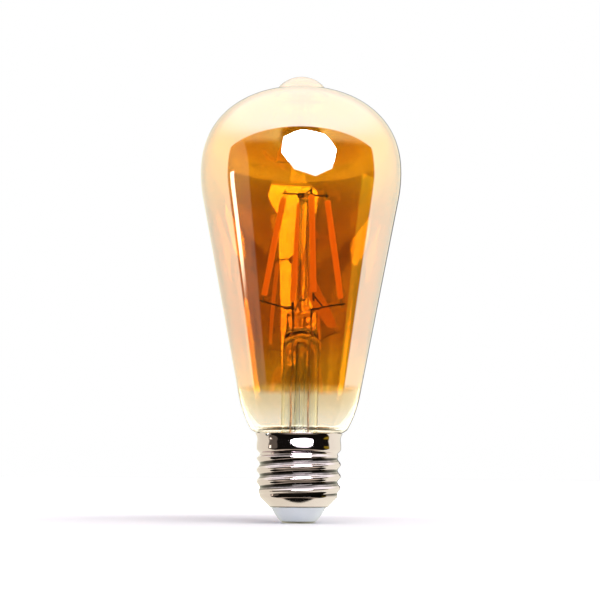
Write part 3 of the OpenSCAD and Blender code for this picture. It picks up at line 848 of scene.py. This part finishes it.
# ---- Filaments ----
def make_filament(i, name, node):
    """A phosphor sheath: a long bead with soft, slightly uneven ends."""
    half = FILAMENT_LENGTH / 2
    outline = [(0, -half), (SHEATH_R * 0.55, -half), (SHEATH_R * 0.85, -half + 0.2)]
    rows = 40
    for k in range(rows + 1):
        z = -half + 0.6 + (FILAMENT_LENGTH - 1.2) * k / rows
        outline.append((SHEATH_R * (0.975 + 0.025 * math.sin(k * 1.7 + i)), z))
    outline += [(SHEATH_R * 0.85, half - 0.2), (SHEATH_R * 0.55, half), (0, half)]
    bm = closed(turned(outline, 28))
    tilt = math.atan((FILAMENT_FOOT_R - FILAMENT_TOP_R) / (TOP_WIRE_Z - ARM_TIP_Z))
    middle = (FILAMENT_FOOT_R + FILAMENT_TOP_R) / 2
    turn = Matrix.Rotation(filament_angle(i), 4, "Z") @ Matrix.Translation((middle, 0, FILAMENT_MID_Z))
    bmesh.ops.transform(bm, matrix=turn @ Matrix.Rotation(-tilt, 4, "Y"), verts=bm.verts)
    lean_all(bm)
    return piece(name, bm, ("phosphor",), "phosphor", node)


# ---- Cap ----
def thread_reach(angle, z):
    """How far the rolled thread stands out of its root, at an angle and a height."""
    foot, top = THREAD_FOOT + THREAD_RUN_IN, THREAD_TOP - THREAD_RUN_OUT
    rise = smooth(z, foot, foot + THREAD_FADE)
    fall = 1 - smooth(z, top - THREAD_FADE / 2, top)
    wave = (1 + math.cos(angle - math.tau * z / PITCH)) / 2
    return (THREAD_R - ROOT_R) * wave * min(rise, fall)


def make_screw_shell():
    """Rolled shell: cone, thread, plain skirt and flared rim, as one sheet."""
    outline = [(8.9, CAP_LIP_Z), (9.0, CAP_LIP_Z + 0.05), (11.6, 7.55)]
    outline += curve(outline[-1], (12.0, 7.95), (ROOT_R, 8.1), (ROOT_R, CONE_TOP_Z), 5)
    outline += straight(outline[-1], (ROOT_R, THREAD_TOP), 96)
    outline += curve(outline[-1], (ROOT_R, 21.6), (12.2, 21.6), (12.32, 21.72), 4)
    outline += curve(outline[-1], (12.6, 22.0), (13.12, 22.4), (13.17, 22.9), 8)
    outline += curve(outline[-1], (13.22, 23.4), (13.2, 24.4), (13.05, 25.3), 8)
    outline += curve(outline[-1], (12.95, 26.0), (13.1, 26.9), (CAP_RIM_R - 0.02, CAP_RIM_Z - 0.1), 8)
    outline += [(CAP_RIM_R - 0.03, CAP_RIM_Z)]
    bm = turned(outline, 144)
    for vert in bm.verts:
        x, y, z = vert.co
        if THREAD_FOOT < z < THREAD_TOP:
            r = math.hypot(x, y)
            grown = 1 + thread_reach(math.atan2(y, x), z) / r
            vert.co.x, vert.co.y = x * grown, y * grown
    bmesh.ops.remove_doubles(bm, verts=bm.verts, dist=1e-4)
    bmesh.ops.recalc_face_normals(bm, faces=bm.faces)
    if bm.faces[0].normal.dot(bm.faces[0].calc_center_median()) < 0:
        bmesh.ops.reverse_faces(bm, faces=bm.faces)
    bmesh.ops.solidify(bm, geom=bm.faces, thickness=SHEET)
    return piece("screw_shell", bm, ("nickel_plate",), "nickel_plate", "cap_shell")


def make_insulator():
    outline = [(EYELET_R, CONTACT_TOP_Z), (5.35, CONTACT_TOP_Z), (5.35, 0.62), (5.55, 0.6)]
    outline += curve(outline[-1], (6.3, 1.2), (7.8, 3.6), (8.25, 4.35), 8)
    outline += [(8.5, 4.8), (8.6, 4.92), (10.0, INSULATOR_TOP_Z)]
    outline += [(EYELET_R, INSULATOR_TOP_Z), outline[0]]
    bm = closed(turned(outline, 96))
    return piece("base_insulator", bm, ("insulator",), "insulator", "cap_insulator")


def make_contact():
    """Pressed contact with a flat face, a rolled edge and its eyelet."""
    outline = [(EYELET_BORE, 0.0), (3.8, 0.0)]
    outline += curve(outline[-1], (4.6, 0.02), (5.3, 0.15), (CONTACT_R, 0.6), 8)
    outline += [(CONTACT_R, 0.88), (EYELET_R, CONTACT_TOP_Z), (EYELET_R, EYELET_TOP_Z)]
    outline += [(EYELET_BORE, EYELET_TOP_Z), outline[0]]
    bm = closed(turned(outline, 72))
    return piece("contact_disc", bm, ("contact_metal",), "contact_metal", "centre_contact")


def make_solder_bead():
    """Bead of solder in the notch of the rim, where the neutral lead ends."""
    low, high = box_mm("rim_solder")
    bm = bmesh.new()
    bmesh.ops.create_icosphere(bm, subdivisions=3, radius=BEAD_R)
    for vert in bm.verts:
        vert.co *= 1 + 0.06 * math.sin(vert.co.x * 6 + vert.co.z * 4)
    bmesh.ops.translate(bm, vec=(low + high) / 2, verts=bm.verts)
    closed(bm)
    return piece("solder_bead", bm, ("solder",), "solder", "rim_solder")


def finish_cad_nodes():
    """Gives each CAD node that stays in view the finish of its material slot."""
    slots = {part["node"]: part["material_slot"] for part in frame["record"]["subparts"]}
    for node, thing in frame["nodes"].items():
        thing.data.materials.clear()
        thing.data.materials.append(FINISHES[slots[node]])


# ---- Studio ----
def octagon(across, along):
    """Mask of an eight-sided softbox in the plane of two socket values scaled to 1."""
    corner = (across + along) / math.sqrt(2)
    return across.most(along).most(corner) < 1.0


def softbox_mask(x, y, z):
    """Mask of the tilted softbox, by the direction of a ray."""
    way = Euler((0, 0, BOX_TURN)).to_matrix() @ Vector((0, -math.cos(BOX_RISE), math.sin(BOX_RISE)))
    level = Vector((0, 0, 1)).cross(way).normalized()
    right = Matrix.Rotation(BOX_ROLL, 3, way) @ level
    up = way.cross(right)
    ahead, across, rise = (x * v.x + y * v.y + z * v.z for v in (way, right, up))
    near = ahead.most(0.001)
    inside = octagon(abs(across / near) / BOX_ACROSS, abs(rise / near) / BOX_ALONG)
    return inside * (ahead > 0.05)


def dark_side(sheet, x, z, away):
    """The room in front: a side wall, a strip of light, the lit floor, the ceiling, a warm wall."""
    left_wall = (-x).ramp(0.86, 0.88) * 0.15
    strip = (abs(away + 0.10) < 0.05) * (x < 0.0) * (z < 0.06) * z.ramp(-0.16, -0.11) * 3.0
    floor_glow = (-z).ramp(0.74, 0.84) * (1 - (-z).ramp(0.90, 0.94)) * 0.75
    ceiling = z.ramp(0.34, 0.50) * abs(x).ramp(0.30, 0.42) * 0.45
    right_wall = x.ramp(0.945, 0.96) * (z < 0.02) * 0.8
    room = sheet.node(
        "ShaderNodeVectorMath",
        {"operation": "SCALE"},
        {0: ROOM_TINT, "Scale": left_wall + strip + floor_glow + ROOM_FILL},
    )
    return sheet.mix(right_wall, sheet.mix(ceiling, room, CEILING), RIGHT_WALL)


def white_side(sheet, x, z, away):
    """The white paper behind: cooler to the right, whiter above and dark at its far edge."""
    colour = sheet.mix(x.ramp(-0.5, 0.5), WHITE_LEFT, WHITE_RIGHT)
    colour = sheet.mix(z.ramp(0.40, 0.75), colour, WHITE_HIGH)
    colour = sheet.mix(away.ramp(0.6, 0.95) * 0.5, colour, WHITE_DEEP)
    edge = away.ramp(0.935, 0.965) * (x > 0.02).most(z > 0.30)
    return sheet.mix(edge, colour, DARK_EDGE)


def make_studio():
    """A white backdrop; reflections see white behind, and a dark room with a softbox in front."""
    world = bpy.data.worlds.new("studio")
    bpy.context.scene.world = world
    world.use_nodes = True
    sheet = Sheet(world.node_tree)
    x, y, z = sheet.parts(sheet.node("ShaderNodeTexCoord"))
    away = y * math.cos(VIEW_RISE) + z * math.sin(VIEW_RISE)
    behind = (away + (z - 0.34).most(0.0) * 1.85).ramp(0.0, 0.05)
    seen = sheet.mix(behind, dark_side(sheet, x, z, away), white_side(sheet, x, z, away))
    panel = sheet.mix(z.ramp(0.07, 0.10), BOX_FOOT_LIGHT, BOX_LIGHT)
    seen = sheet.mix(softbox_mask(x, y, z), seen, panel)
    path = sheet.tree.nodes.new("ShaderNodeLightPath")
    mirrored = Socket(sheet, path.outputs["Glossy Depth"]) > 0.5
    scattered = Socket(sheet, path.outputs["Is Diffuse Ray"])
    colour = sheet.mix(mirrored, sheet.mix(scattered, BACKDROP, SCATTERED), seen)
    background = sheet.node("ShaderNodeBackground", None, {"Color": colour, "Strength": 1.0})
    sheet.node("ShaderNodeOutputWorld", None, {"Surface": background})


def add_light(name, place, size, power):
    lamp = bpy.data.lights.new(name, "AREA")
    lamp.shape, lamp.size, lamp.energy = "DISK", size, power
    thing = bpy.data.objects.new(name, lamp)
    thing.location = place
    thing.rotation_euler = (-Vector(place)).to_track_quat("-Z", "Y").to_euler()
    thing.visible_glossy = False
    thing.visible_camera = False
    bpy.context.scene.collection.objects.link(thing)


def floor_paper(sheet):
    """White paper that is lit from within beyond the bulb's shadow, so it fades into the backdrop."""
    x, y = sheet.parts(sheet.place())[:2]
    far = ((x * x + y * y) ** 0.5).ramp(*FLOOR_WHITE)
    return {
        "Base Color": sheet.mix(sheet.noise(6, 2), (0.93, 0.92, 0.93), (0.95, 0.945, 0.95)),
        "Roughness": 0.9,
        "Specular IOR Level": 0.1,
        "Emission Color": sheet.mix(far, (0.0, 0.0, 0.0), (1.0, 1.0, 1.0)),
        "Emission Strength": 1.0,
    }


def make_floor():
    bm = bmesh.new()
    bmesh.ops.create_circle(bm, cap_ends=True, segments=96, radius=FLOOR_R)
    mesh = bpy.data.meshes.new("floor")
    bm.to_mesh(mesh)
    bm.free()
    mesh.materials.append(finish("floor_paper", floor_paper))
    floor = bpy.data.objects.new("floor", mesh)
    bpy.context.scene.collection.objects.link(floor)
    floor.visible_glossy = False


def make_camera():
    """Camera a little below the middle of the bulb, looking slightly up."""
    data = bpy.data.cameras.new("camera")
    data.sensor_width = SENSOR
    data.lens = FOCAL_OVER_WIDTH * SENSOR
    camera = bpy.data.objects.new("camera", data)
    forward = Vector((0, math.cos(VIEW_RISE), math.sin(VIEW_RISE)))
    camera.location = VIEW_AIM - forward * VIEW_DISTANCE
    turn = forward.to_track_quat("-Z", "Y").to_matrix().to_4x4()
    camera.rotation_euler = (turn @ Matrix.Rotation(VIEW_ROLL, 4, "Z")).to_euler()
    data.clip_start, data.clip_end = 0.01, 20.0
    bpy.context.scene.collection.objects.link(camera)
    bpy.context.scene.camera = camera


make_camera()
make_studio()
make_floor()
add_light("overhead_softbox", (0.20, -0.34, 0.74), 0.8, 4.6)
bpy.context.scene.view_settings.view_transform = "Standard"
bpy.context.scene.cycles.caustics_reflective = False

finish_cad_nodes()
make_bulb_glass()
make_stem_glass()
make_exhaust_tube()
make_support_wires()
make_arms("left_arms", -1, "lead_arms_left")
make_arms("right_arms", 1, "lead_arms_right")
make_lead("left_lead", -1, "stem_lead_left")
make_lead("right_lead", 1, "stem_lead_right")
for number, order in ((1, 0), (2, 3), (3, 1), (4, 2)):
    make_filament(order, f"filament_sheath_{number}", f"led_filament_{number}")
make_screw_shell()
make_insulator()
make_contact()
make_solder_bead()
